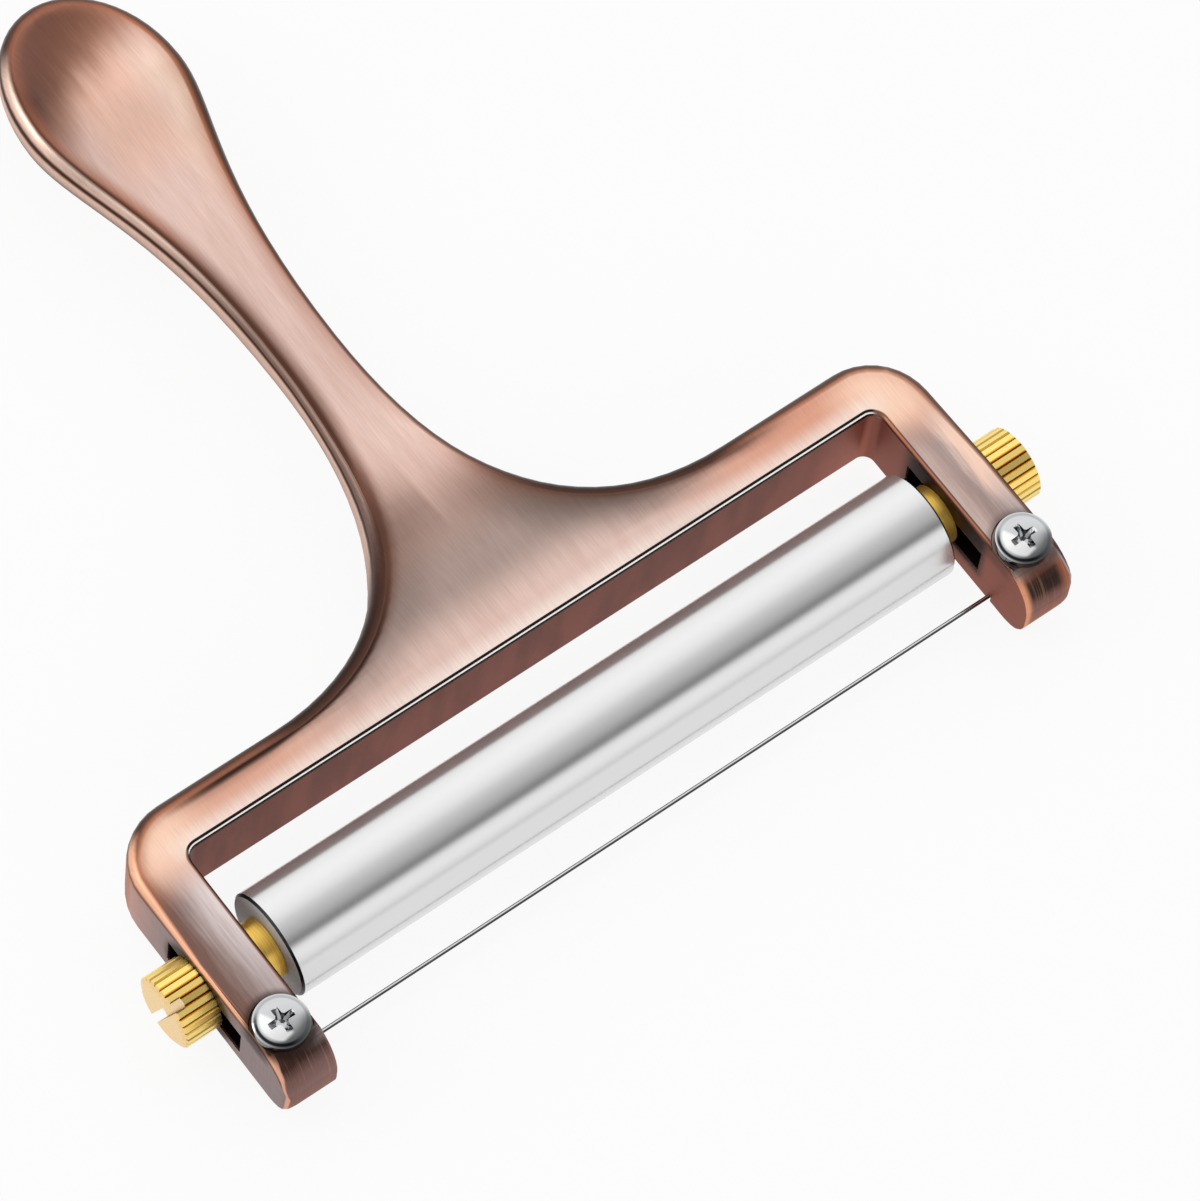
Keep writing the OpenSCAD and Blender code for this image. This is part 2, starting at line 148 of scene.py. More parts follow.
def start_metal(name, colour, roughness, metallic=1.0):
    """A new metal with its shader, and the Object coordinates its patterns read."""
    made = bpy.data.materials.new(name)
    made.use_nodes = True
    tree = made.node_tree
    shader = tree.nodes["Principled BSDF"]
    shader.inputs["Metallic"].default_value = metallic
    shader.inputs["Base Color"].default_value = linear(colour)
    shader.inputs["Roughness"].default_value = roughness
    return made, tree, shader, tree.nodes.new("ShaderNodeTexCoord")


print("the middle grey 808080 is linear", linear("808080")[0])

# %% [markdown]
# Masks say where on a piece a finish changes. They are built from a few small functions:
# sums and products of values, a soft step between two places, a mix of two colours, a ramp
# of colours that each cover what is under them by some share, and noise drawn out into lines.


# %% Masks
def calc(operation, a, b=0.0):
    """One sum, product or other operation on two values, of which one at least is a socket."""
    tree = a.id_data if isinstance(a, bpy.types.NodeSocket) else b.id_data
    return add(tree, "ShaderNodeMath", {0: a, 1: b}, operation=operation).outputs[0]


def times(*values):
    """The product of several masks and numbers."""
    product = values[0]
    for value in values[1:]:
        product = calc("MULTIPLY", product, value)
    return product


def all_but(mask):
    """What a mask leaves free."""
    return calc("SUBTRACT", 1.0, mask)


def length(a, b):
    """The length of the slope that two lengths at right angles make."""
    return calc("SQRT", calc("ADD", times(a, a), times(b, b)))


def step(value, start, end):
    """0 before one value and 1 after the other, with a soft change between them."""
    feeds = {"Value": value, "From Min": start, "From Max": end}
    soft = add(value.id_data, "ShaderNodeMapRange", feeds, interpolation_type="SMOOTHSTEP")
    return soft.outputs[0]


def mix(mask, under, over):
    """The colour under a mask, with another colour over it."""
    made = add(mask.id_data, "ShaderNodeMix", {"Factor": mask}, data_type="RGBA")
    sockets = [s for s in made.inputs if s.type == "RGBA"]
    for socket, colour in zip(sockets, (under, over)):
        if isinstance(colour, bpy.types.NodeSocket):
            made.id_data.links.new(colour, socket)
        else:
            socket.default_value = linear(colour)
    return next(s for s in made.outputs if s.type == "RGBA")


def ramp(value, stops):
    """The colour, and how much it covers, at a value between stops of (place, colour, cover)."""
    made = add(value.id_data, "ShaderNodeValToRGB", {"Fac": value})
    elements = made.color_ramp.elements
    elements.remove(elements[1])
    for index, (place, colour, cover) in enumerate(stops):
        stop = elements.new(place) if index else elements[0]
        stop.position = place
        stop.color = (*linear(colour)[:3], cover)
    return made.outputs


def noise(place, width, stretch, detail=3.0):
    """Noise with features of a width in mm, drawn out along the three axes."""
    tree = place.id_data
    feeds = {"Vector": place, "Scale": [1 / s for s in stretch]}
    drawn = add(tree, "ShaderNodeMapping", feeds).outputs[0]
    feeds = {"Vector": drawn, "Scale": 1 / width, "Detail": detail}
    return add(tree, "ShaderNodeTexNoise", feeds).outputs["Fac"]


def in_mm(coords, zero_z):
    """Object coordinates in mm from the roller's axis and from a height."""
    feeds = {"Vector": coords.outputs["Object"], "Scale": [1 / MM] * 3,
             "Location": (0, -axis_y / MM, -zero_z / MM)}
    return add(coords.id_data, "ShaderNodeMapping", feeds).outputs[0]


def split(vector):
    """The three parts of a vector."""
    return add(vector.id_data, "ShaderNodeSeparateXYZ", {"Vector": vector}).outputs


# %% [markdown]
# ## Antique copper plating
#
# The casting is a zinc alloy. It is plated with copper, blackened all over, and then brushed
# along its length until the copper shows through, and a clear lacquer keeps it so. The brush
# burnishes the flats to a pale pink. Painted highlights lie on the crests of the edges, painted
# shade lies beside the edges and in the dip behind the bar, and a brown patina stays at the free
# end. A picture would do, but masks keep it sharp and need no file.
#
# All places below are in millimetres from the roller's axis and from the back of the yoke,
# read from Object coordinates, so that the finish belongs to the casting and not to the view.
# The tilt is 0 where the surface faces front, 0.5 where it faces sideways and 1 where it faces
# back. Toward x and toward y say which way the surface leans, and a small number keeps both
# near 0 where it is level. The inset is how far inside the outline a place lies; the casting is
# told it further down. The tone is the colour as painted so far, and each cell paints over it.

# %% Places and directions on the casting
copper, tree, shader, coords = start_metal("antique_copper_plate", "e2beb1", 0.38)
place = in_mm(coords, back_z)
x, y, z = split(place)
nx, ny, nz = split(coords.outputs["Normal"])
side_x = calc("ABSOLUTE", x)
tilt = times(calc("ARCCOSINE", nz), 1 / math.pi)
NOT_ZERO = 0.02
level_part = calc("ADD", length(nx, ny), NOT_ZERO)
toward_x = calc("DIVIDE", nx, level_part)
toward_y = calc("DIVIDE", ny, level_part)
inset = add(tree, "ShaderNodeAttribute", attribute_name="inset_mm").outputs["Fac"]
print("places and directions take", len(tree.nodes), "nodes")

# %% [markdown]
# Five layers of noise stand for the brushing: hair lines along the handle, smears where the
# brush took more or less of the patina away, streaks on the arms, and, on the walls, where the
# plating was never brushed, upright lines and broad patches. Real hair lines are a few
# hundredths of a millimetre wide. They are drawn 0.12 mm wide, because finer ones don't show.

# %% Brushing
hair = noise(place, 0.12, (1, 40, 6))
smears = noise(place, 1.6, (1, 9, 3), detail=4.0)
streaks = noise(place, 0.45, (1, 14, 4), detail=4.0)
upright = noise(place, 0.25, (1, 1, 20))
broad = noise(place, 5.0, (1, 1, 4))
print("with the brushing it has", len(tree.nodes), "nodes")

# %% [markdown]
# The bar is brushed less than the handle, so it keeps more of the salmon colour of copper
# towards both shoulders, where the corners are burnished bright again. A strip along the near
# edge of the bar is the palest place.

# %% Burnished front
tone = mix(step(smears, 0.3, 0.75), "e6c6bb", "dfbdb1")
on_bar = step(y, 30, 20)
salmon = mix(step(x, 0, 10), "dea288", "de9a7c")
tone = mix(times(step(side_x, 18, 46), on_bar, 0.8), tone, salmon)
on_left_half = step(x, 0, -1)
shoulder_y = calc("SUBTRACT", y, times(on_left_half, 3))
on_shoulder = times(step(side_x, 50, 60), step(shoulder_y, 6, 14), on_bar)
tone = mix(times(on_shoulder, 0.92), tone, "ffd6bd")
near_edge = times(step(y, 19, 15.6), step(y, 13, 15), step(side_x, 62, 56))
tone = mix(times(near_edge, 0.7), tone, "fff0e6")
print("with the burnished front it has", len(tree.nodes), "nodes")

# %% [markdown]
# Between the bar and the handle the front dips, and painted shade lies in the dip: a grey band
# along the bar, darkest 27 to 29 mm from the roller's axis. A thin veil of it reaches further up
# the handle and bends towards the bar on both sides, as the flares do. Towards the flares' edges
# the painted shade turns brown, more so on the right.

# %% Painted shade in the dip
dip_y = calc("ADD", y, times(x, x, 0.012))
# painted shade: a grey veil over the dip
dip = times(step(dip_y, 17, 31), step(dip_y, 58, 32), step(side_x, 38, 20))
tone = mix(times(dip, 0.2), tone, "b3a59d")
# painted shade: the grey band's dark core
dip_shade_core = times(step(y, 19, 27), step(y, 44, 29), step(side_x, 30, 10))
tone = mix(times(dip_shade_core, 0.8), tone, "97847c")
edge_share = calc("SUBTRACT", 0.9, times(on_left_half, 0.35))
# painted shade, brown towards the flares' edges
flare_edge_shade = times(dip, step(y, 50, 27), step(inset, 11, 2.5), edge_share)
tone = mix(flare_edge_shade, tone, "63544d")
print("with the dip it has", len(tree.nodes), "nodes")

# %% [markdown]
# At the free end the patina's border runs aslant and uneven, over a strip of deeper copper.
# The patina is darkest on the left, which the brush hardly reached. Below it the paddle is
# warm and bright in the middle, and a painted highlight lies on its right side.

# %% Free end
uneven = times(calc("SUBTRACT", smears, 0.5), 5)
end_y = calc("ADD", calc("ADD", y, times(x, -0.5)), uneven)
tone = mix(times(step(end_y, 111, 124), 0.8), tone, "c08466")
tone = mix(times(step(end_y, 113, 129), 0.95), tone, "54362c")
far_left = times(step(calc("ADD", y, times(x, -1.6)), 120, 142), step(y, 98, 112))
tone = mix(times(far_left, 0.85), tone, "4b3736")
# painted highlight on the paddle's right side
paddle_highlight = times(step(x, 1, 10), step(y, 84, 100), step(y, 126, 112))
tone = mix(times(paddle_highlight, 0.9), tone, "ffdfcb")
in_middle = times(step(x, -8, -2), step(x, 8, 3), step(y, 98, 108), step(end_y, 124, 113))
tone = mix(times(in_middle, 0.7), tone, "f2c3ad")
print("with the free end it has", len(tree.nodes), "nodes")

# %% [markdown]
# Painted shade also lies along the edges. Most of it lies along the left edge of the handle,
# where two lines of it follow each other, and behind the bar. The right edge of the handle's
# middle is the exception: it carries a pale painted highlight.

# %% Painted shade and highlight along the handle's edges
behind_y = calc("SUBTRACT", y, times(on_left_half, 8))
behind_x = calc("SUBTRACT", side_x, times(on_left_half, 10))
behind = times(step(behind_y, 46, 30), step(y, 12, 18), step(behind_x, 50, 38))
# painted highlight along the right edge of the handle's middle
right_edge_highlight = times(step(x, 0, 7), step(y, 34, 50), step(y, 100, 85))
tone = mix(times(right_edge_highlight, step(inset, 6.5, 1.5), 0.8), tone, "f8ddd1")
elsewhere = times(all_but(behind), all_but(right_edge_highlight))
# painted shade along the outline
tone = mix(times(elsewhere, step(inset, 4.2, 1.2), 0.3), tone, "b4735a")
on_left = times(step(x, 0, -2), step(y, 22, 30))
# two lines of painted shade along the left edge of the handle
left_shade_line = mix(step(y, 84, 100), "6a4536", "a5603f")
tone = mix(times(on_left, step(inset, 4.2, 1.7), step(y, 132, 100), 0.75), tone, left_shade_line)
tone = mix(times(on_left, step(inset, 2.4, 1.5), step(y, 134, 112), 0.9), tone, "4a2c22")
print("with the handle's edges it has", len(tree.nodes), "nodes")

# %% [markdown]
# Behind the bar painted shade darkens in lines towards the edge of each flare, and the left
# flare has one line more. The corners of the yoke and the right edge of the paddle show a line
# of deep copper instead.

# %% Flares, corners and the paddle's right edge
# painted shade in lines towards the flares' edges
tone = mix(times(behind, step(inset, 4.6, 2.4), 0.55), tone, "6b5148")
tone = mix(times(behind, step(inset, 3.2, 1.9), 0.8), tone, "48312a")
tone = mix(times(behind, step(x, 0, -2), step(inset, 3.3, 2.4), 0.9), tone, "2c1c17")
corner = times(step(side_x, 46, 56), step(y, 0, 10))
tone = mix(times(corner, on_left_half, step(inset, 3.2, 0.8), 0.85), tone, "a9643c")
tone = mix(times(corner, step(x, 0, 1), step(inset, 1.8, 0.6), 0.7), tone, "b98062")
on_right_edge = times(step(x, 3, 5), step(y, 66, 84), step(y, 129, 124), step(inset, 2.4, 0.8))
tone = mix(times(on_right_edge, 0.7), tone, "bd6c42")
print("with the flares and corners it has", len(tree.nodes), "nodes")

# %% [markdown]
# The arms lie across the end of the stroke. They are greyer, more streaked, and darker on
# their left sides and towards the screws. The right arm keeps a warm strip along its outer
# side and a duller one along its inner side. A place across an arm runs from 0 on its left
# side to 1 on its right side.

# %% Arms
ARM_W = 8.4
INNER_X = 58.25
on_arm = times(step(shoulder_y, 13, 5), step(side_x, 57, 59))
on_right = calc("GREATER_THAN", x, 0)
on_right_arm = times(on_arm, on_right)
from_left_side = calc("SUBTRACT", calc("ADD", x, INNER_X + ARM_W),
                      times(on_right, 2 * INNER_X + ARM_W))
across = calc("ADD", times(from_left_side, 1 / ARM_W),
              times(calc("SUBTRACT", streaks, 0.5), 0.35))
pale_grey = mix(step(y, -10, 6), "b9afaf", "e8dddc")
arm_tone = mix(step(across, 0.15, 0.95), "705750", pale_grey)
tone = mix(times(on_arm, 0.9), tone, arm_tone)
tone = mix(times(on_right_arm, step(across, 0.45, 0.75), step(y, -9, 1)), tone, "ffd8c2")
tone = mix(times(on_right_arm, step(across, 0.6, 0.1), 0.85), tone, "d6beb6")
print("with the arms it has", len(tree.nodes), "nodes")

# %% [markdown]
# The outer sides of the arms are painted mauve as shade, turning salmon towards the shoulders.
# The walls of the mouth are reddish brown, with upright streaks, and redder towards the right.
# Round the slots and behind the knobs a near-black painted shadow lies.

# %% Walls
SHADOW_BLACK = "20110e"
facing_side = times(step(tilt, 0.42, 0.48), step(tilt, 0.6, 0.54))
outer_wall = times(facing_side, step(side_x, 66.0, 66.4), step(y, 24, 14))
# painted shade: the outer walls darker mauve
mauve_shade = mix(upright, "8b7877", "9b8887")
tone = mix(outer_wall, tone, mix(step(y, 6, 18), mauve_shade, "c0968a"))
in_mouth = times(facing_side, step(side_x, 58.6, 58.4), step(y, 15.6, 15.4))
wall_tone = mix(step(broad, 0.35, 0.65), "7c4033", "904f3e")
wall_tone = mix(times(step(x, 42, 57), 0.7), wall_tone, "c0705a")
tone = mix(in_mouth, tone, wall_tone)
# painted shadow round the slots
by_slot = times(step(y, 9, 6), step(y, -11, -9), step(z, 1.5, 4))
tone = mix(times(in_mouth, by_slot, 0.9), tone, SHADOW_BLACK)
# painted shadow behind the knobs
off_axis = length(y, calc("SUBTRACT", z, (axis_z - back_z) / MM))
tone = mix(times(outer_wall, step(off_axis, 8.5, 6.5), 0.9), tone, SHADOW_BLACK)
print("with the walls it has", len(tree.nodes), "nodes")

# %% [markdown]
# Every edge is painted with light and shade, from the flat outwards. On the left of the handle
# a painted highlight, a line of painted shade and a second painted highlight follow each other.
# The edges that face away from the stroke, to the right and to the free end, are painted deep
# copper and then dark as shade, and along the flares they are darker still. The lip of the mouth
# carries a painted white reflection between two dark ones. The left arm has a painted highlight
# on its left edge, the right arm one of deep copper, and the left corners of both tips carry
# painted highlights. Each stop gives a tilt, a colour and the share that it covers.

# %% Colours across each edge
EDGE_LIGHT_AND_SHADE = {
    "left": [(0.04, "6b4636", 0.0), (0.1, "5b3a2d", 0.8), (0.17, "eed0c0", 0.9),
             (0.3, "e8c6b4", 0.9), (0.35, "4a2e24", 0.95), (0.39, "4a2e24", 0.95),
             (0.43, "e2c0ae", 0.9), (0.53, "d1ac9a", 0.9), (0.6, "3c2419", 1.0),
             (0.72, "8a6656", 0.3), (0.85, "8a6656", 0.0)],
    "right": [(0.03, "cf8a66", 0.0), (0.09, "d07f54", 0.8), (0.24, "b86035", 0.95),
              (0.35, "70391f", 1.0), (0.43, "3a2018", 1.0), (0.6, "7a5040", 0.5),
              (0.8, "7a5040", 0.0)],
    "far": [(0.02, "b98069", 0.0), (0.07, "a06a54", 0.7), (0.16, "6b4536", 0.95),
            (0.28, "32201a", 1.0), (0.45, "5a3c30", 0.9), (0.62, "8a6050", 0.5),
            (0.8, "8a6050", 0.0)],
    "arm": [(0.06, "7a5142", 0.0), (0.14, "7a5142", 0.75), (0.22, "f2b594", 0.95),
            (0.32, "f6bd9c", 0.95), (0.4, "5a3a33", 0.9), (0.46, "8d7d7c", 0.0)],
    "flare": [(0.02, "4a342b", 0.0), (0.06, "42302a", 0.9), (0.16, "3a261f", 0.95),
              (0.28, "281a15", 1.0), (0.45, "5a3c30", 0.7), (0.62, "8a6050", 0.0)],
    "lip": [(0.0, "241713", 0.0), (0.03, "120b0a", 0.95), (0.16, "0c0706", 1.0),
            (0.19, "fffaf6", 1.0), (0.26, "fffaf6", 1.0), (0.29, "0c0706", 1.0),
            (0.44, "2a1612", 0.9), (0.5, "58302a", 0.2)],
    "arm lip": [(0.02, "4a2a20", 0.0), (0.08, "3c221b", 0.85), (0.2, "a0603f", 0.9),
                (0.3, "6e3d2b", 0.9), (0.4, "2a1612", 0.9), (0.48, "2a1612", 0.4)],
    "tip corner": [(0.04, "e9b094", 0.0), (0.16, "e9b094", 0.9), (0.6, "e9b094", 0.9),
                   (0.66, "e9b094", 0.0)],
}
print("kinds of edge:", ", ".join(EDGE_LIGHT_AND_SHADE))

# %% [markdown]
# Where each kind of edge runs follows from the place and from the way the surface leans.
# Between the paddle and the bar, dark painted shade covers the first highlight of the left edge.

# %% Edges
leans_left = step(toward_x, -0.45, -0.8)
leans_right = step(toward_x, 0.45, 0.8)
leans_away = calc("MAXIMUM", step(toward_y, 0.4, 0.75), leans_right)
on_handle = step(y, 21, 25)
WHERE = {
    "left": times(leans_left, on_handle),
    "far": leans_away,
    "right": times(leans_right, step(y, 75, 105)),
    "arm": times(leans_left, all_but(on_handle), step(x, -59.5, -60.5)),
    "flare": times(leans_away, behind, step(side_x, 44, 34)),
    "lip": times(step(toward_y, -0.5, -0.8), step(y, 12, 13), step(y, 17, 16.2)),
    "arm lip": times(leans_left, step(x, 57, 58), step(x, 60, 59.4)),
    "tip corner": times(step(y, -14, -15.5), step(toward_y, -0.45, -0.6),
                        step(toward_y, -0.95, -0.85), step(toward_x, -0.2, -0.4)),
}
# each ramp paints highlights, reflections and shade across an edge
for name, stops in EDGE_LIGHT_AND_SHADE.items():
    colour, cover = ramp(tilt, stops)
    tone = mix(times(cover, WHERE[name]), tone, colour)
first_highlight = times(step(tilt, 0.1, 0.15), step(tilt, 0.36, 0.31), step(y, 108, 72))
tone = mix(times(WHERE["left"], first_highlight, 0.8), tone, "47302a")
print("with the edges it has", len(tree.nodes), "nodes")

# %% [markdown]
# The arm tips curve away below the screws, and their colours follow the tilt too, as painted
# shade. The left tip is painted dark below the screw and greys towards its end. The right one
# is deep copper round a painted dark reflection, with a painted highlight at its inner corner.
# Fine scratches let the copper through on both.

# %% Tips
LEFT_TIP_SHADE = [(0.08, "5a3a32", 1.0), (0.17, "33201c", 1.0), (0.23, "3c2622", 1.0),
            (0.32, "775852", 1.0), (0.42, "80605a", 1.0), (0.52, "8c5a4e", 1.0)]
RIGHT_TIP_SHADE = [(0.08, "8f5339", 1.0), (0.17, "935840", 1.0), (0.23, "3a2018", 1.0),
             (0.28, "1c0e0a", 1.0), (0.34, "2a1711", 1.0), (0.4, "70493f", 1.0),
             (0.48, "845042", 1.0), (0.53, "a8613f", 1.0)]
SCREW_X = INNER_X + ARM_W / 2
arm_off = calc("SUBTRACT", side_x, SCREW_X)
left_tip = ramp(tilt, LEFT_TIP_SHADE)[0]
right_tip = ramp(tilt, RIGHT_TIP_SHADE)[0]
# painted dark reflection on the right tip
from_dark_reflection = calc("ABSOLUTE", calc("ADD", arm_off, 0.5))
right_tip = mix(step(from_dark_reflection, 2.2, 3.6), right_tip, "93563c")
# painted highlight at the right tip's inner corner
right_tip = mix(step(x, 59.6, 58.7), right_tip, "e39a74")
tip_tone = mix(on_right, left_tip, right_tip)
scratches = noise(place, 0.2, (1, 60, 60))
tip_tone = mix(times(step(scratches, 0.5, 0.75), 0.3), tip_tone, "c08a70")
on_tip = times(step(y, -15, -17.5), step(tilt, 0.08, 0.16), step(toward_y, -0.8, -0.95))
tone = mix(times(on_tip, 0.95), tone, tip_tone)
print("with the tips it has", len(tree.nodes), "nodes")

# %% [markdown]
# Round each screw's head lies a ring of painted shadow, weaker on the right, and inside the
# slots and the pockets painted shade is nearly black.

# %% Round the screws and in the slots
SCREW_Y = -12.5
from_screw = length(arm_off, calc("SUBTRACT", y, SCREW_Y))
head_shadow_ring = times(step(from_screw, 5.6, 4.2), step(z, 9, 11))
tone = mix(times(head_shadow_ring, calc("SUBTRACT", 0.78, times(on_right, 0.33))), tone, "2c1b16")
# painted shade inside the slots and the pockets
in_arm = times(step(side_x, 66.4, 66.2), step(side_x, 58.5, 58.7),
               step(z, 0.1, 0.5), step(z, 11, 10.6))
tone = mix(times(in_arm, step(y, 12, 11), step(y, -16, -15.5), 0.95), tone, "120b09")
print("with the slots it has", len(tree.nodes), "nodes")

# %% [markdown]
# The hair lines go over everything. They also drive the roughness and a shallow relief. The
# walls are duller than the brushed front, and the arms a little.

# %% Hair lines, roughness and relief
BRUSHED_ROUGH = 0.28
brightness = calc("ADD", times(step(hair, 0.25, 0.75), 0.16), 0.93)
lined = add(tree, "ShaderNodeHueSaturation", {"Color": tone, "Value": brightness})
tree.links.new(lined.outputs[0], shader.inputs["Base Color"])
dull = calc("MAXIMUM", facing_side, times(on_arm, 0.4))
rougher = calc("ADD", times(dull, 0.2), times(hair, 0.12))
tree.links.new(calc("ADD", rougher, BRUSHED_ROUGH), shader.inputs["Roughness"])
relief = add(tree, "ShaderNodeBump", {"Height": hair, "Strength": 0.08, "Distance": 0.03 * MM})
tree.links.new(relief.outputs[0], shader.inputs["Normal"])
print("made", copper.name, "with", len(tree.nodes), "nodes")

# %% [markdown]
# ## Aluminium roller
#
# The roller is drawn aluminium tube, turned to a satin finish and anodised, so its fine lines
# run round it and a thin milky layer lightens its reflections. Its faced ends are duller, and
# their rims carry a painted dark reflection. Turning lines are finer than the 0.2 mm drawn
# here, which is the least that shows.

# %% Aluminium
satin_aluminium, tree, shader, coords = start_metal("satin_aluminium", "e4e4e4", 0.2, 0.78)
turned = noise(in_mm(coords, axis_z), 0.2, (1, 40, 40))
rough = add(tree, "ShaderNodeMapRange", {"Value": turned, "To Min": 0.18, "To Max": 0.24})
tree.links.new(rough.outputs[0], shader.inputs["Roughness"])

faced_aluminium, tree, shader, coords = start_metal("faced_aluminium", "e4e4e6", 0.5, 0.15)
grain = noise(in_mm(coords, axis_z), 0.25, (1, 1, 1))
tree.links.new(mix(step(grain, 0.35, 0.65), "c9c9cb", "d8d8da"), shader.inputs["Base Color"])

# painted dark reflection on the rims of the faced ends
rim_dark_reflection, tree, shader, coords = start_metal("rim_dark_reflection", "3a3a3d", 0.4)
grain = noise(in_mm(coords, axis_z), 0.25, (1, 1, 1))
tree.links.new(mix(step(grain, 0.35, 0.65), "343437", "4a4a4e"), shader.inputs["Base Color"])
print("made", satin_aluminium.name, faced_aluminium.name, rim_dark_reflection.name)

# %% [markdown]
# ## Brass
#
# The thumbscrews and stub axles are turned brass. A knurling wheel raises the crests on the
# thumbscrews' rims; the crests are coloured bright and the grooves between them dark. Turning
# lines are finer than the 0.15 mm drawn here, which is the least that shows, and the
# thumbscrews' faced ends have only a soft grain, 0.3 mm wide. The wire nuts lie hidden in
# their pockets and get the turned brass too.

# %% Brass
turned_brass, tree, shader, coords = start_metal("turned_brass", "fccd62", 0.35, 0.75)
cuts = noise(in_mm(coords, axis_z), 0.15, (1, 30, 30))
tree.links.new(mix(step(cuts, 0.35, 0.65), "f6c14e", "ffd76e"), shader.inputs["Base Color"])

GROOVE_R = 5.1
CREST_R = 5.42
knurled_brass, tree, shader, coords = start_metal("knurled_brass", "ecc47c", 0.3)
place = in_mm(coords, axis_z)
off_y, off_z = split(place)[1:]
knurl = mix(step(length(off_y, off_z), GROOVE_R, CREST_R), "a8690f", "ffe084")
grain = noise(place, 0.3, (1, 1, 1))
end_face = mix(step(grain, 0.35, 0.65), "efc882", "f7d79a")
faces_out = step(calc("ABSOLUTE", split(coords.outputs["Normal"])[0]), 0.6, 0.9)
tree.links.new(mix(faces_out, knurl, end_face), shader.inputs["Base Color"])
print("made", turned_brass.name, knurled_brass.name)

# %% [markdown]
# ## Chromed screws
#
# The tension screws are chromed steel. The recess and the sides under the dome are painted
# darker as shade. A head is small in the picture, and the light alone leaves its dome flat.
# So the dome's light is painted in the finish: a painted highlight on its left side, painted
# shade on the side towards the tip, and a ring of painted shadow near the rim. The painted
# highlight is less metallic, so that it keeps its white in any light.

# %% Chrome
chromed_steel, tree, shader, coords = start_metal("chromed_steel", "cccece", 0.07)
screw_x, screw_y = split(in_mm(coords, back_z))[:2]
from_x = calc("SUBTRACT", screw_x, times(calc("SIGN", screw_x), SCREW_X))
from_y = calc("SUBTRACT", screw_y, SCREW_Y)
from_middle = length(from_x, from_y)
highlight_side = calc("ADD", times(from_x, -0.9), times(from_y, -0.4))
shade_side = calc("SUBTRACT", times(from_x, 0.2), from_y)
facing_front = split(coords.outputs["Normal"])[2]
# painted shade in the recess and on the head's sides
recess_shade = mix(step(facing_front, 0.1, 0.45), "5c5e62", "e4e6e8")
side_shade = times(step(from_middle, 1.6, 3.2), step(shade_side, 0.6, 2.8))
head = mix(times(side_shade, 0.75), "c6c8c9", "66686b")
# painted highlight on the dome's left side
painted_highlight = times(step(highlight_side, 0.4, 1.0), step(from_middle, 3.2, 2.8),
                 step(shade_side, 2.7, 2.1))
head = mix(painted_highlight, head, "ffffff")
# ring of painted shadow near the rim
rim_shadow = times(step(from_middle, 3.15, 3.4), step(from_middle, 3.85, 3.6))
rim_shadow_share = calc("ADD", times(step(highlight_side, 0.2, 2.4), 0.7), 0.28)
head = mix(times(rim_shadow, rim_shadow_share), head, "1c1e20")
tree.links.new(mix(step(facing_front, 0.6, 0.8), recess_shade, head), shader.inputs["Base Color"])
tree.links.new(all_but(times(painted_highlight, 0.6)), shader.inputs["Metallic"])
print("made", chromed_steel.name, "with", len(tree.nodes), "nodes")

# %% [markdown]
# ## Wire
#
# The wire is drawn stainless steel. Its sides are painted dark as shade, and a painted highlight
# runs where it faces front, because the light alone leaves that line too faint on so thin a
# wire. It is so thin that its drawing marks, 0.1 mm wide here, only dull it.

# %% Wire
drawn_steel, tree, shader, coords = start_metal("drawn_steel", "7c7c80", 0.16)
marks = noise(in_mm(coords, axis_z), 0.1, (40, 1, 1))
# painted shade along the wire's sides
shaded_steel = mix(step(marks, 0.35, 0.65), "3c3c40", "4e4e52")
# painted highlight where the wire faces front
highlight_line = step(split(coords.outputs["Normal"])[2], 0.86, 0.96)
tree.links.new(mix(highlight_line, shaded_steel, "eeeeee"), shader.inputs["Base Color"])
print("made", drawn_steel.name, "with", len(tree.nodes), "nodes")

# %% [markdown]
# ## The casting
#
# A copy of the casting's solid is merged into one surface. The solid could be dressed as it
# is, but its edges are razor sharp, and an edge without a rounding catches no light. So the
# sharp edges, at the slots, the spot faces and the back of the mouth, get a small rounding,
# as deburring leaves it. The normals are weighted by area, so that flat faces stay flat in
# the light. Where the skin closes, at the top of the handle's free end, its vertices are
# crumpled, and they are first merged to one.


# %% Casting with eased edges
def pick(obj):
    """Leaves only one object selected and active."""
    bpy.ops.object.select_all(action="DESELECT")
    obj.select_set(True)
    bpy.context.view_layer.objects.active = obj


def merged_copy(node_name, name):
    """A free copy of a solid's mesh as a new object, merged into one surface."""
    made = bpy.data.objects.new(name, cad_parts[node_name].data.copy())
    bpy.context.scene.collection.objects.link(made)
    pick(made)
    bpy.ops.mesh.customdata_custom_splitnormals_clear()
    bpy.ops.object.mode_set(mode="EDIT")
    bpy.ops.mesh.select_all(action="SELECT")
    bpy.ops.mesh.remove_doubles(threshold=0.002 * MM)
    bpy.ops.mesh.select_all(action="DESELECT")
    bpy.ops.object.mode_set(mode="OBJECT")
    return made


def ease_edges(obj, width, sharp_deg, smooth_deg):
    """Rounds the edges sharper than an angle, and smooths the rest without bending flats."""
    bevel = obj.modifiers.new("ease", "BEVEL")
    bevel.width = width
    bevel.segments = 2
    bevel.limit_method = "ANGLE"
    bevel.angle_limit = math.radians(sharp_deg)
    bevel.use_clamp_overlap = False
    bpy.ops.object.modifier_apply(modifier="ease")
    bpy.ops.object.shade_smooth_by_angle(angle=math.radians(smooth_deg))
    weigh = obj.modifiers.new("weigh", "WEIGHTED_NORMAL")
    weigh.keep_sharp = True
    bpy.ops.object.modifier_apply(modifier="weigh")


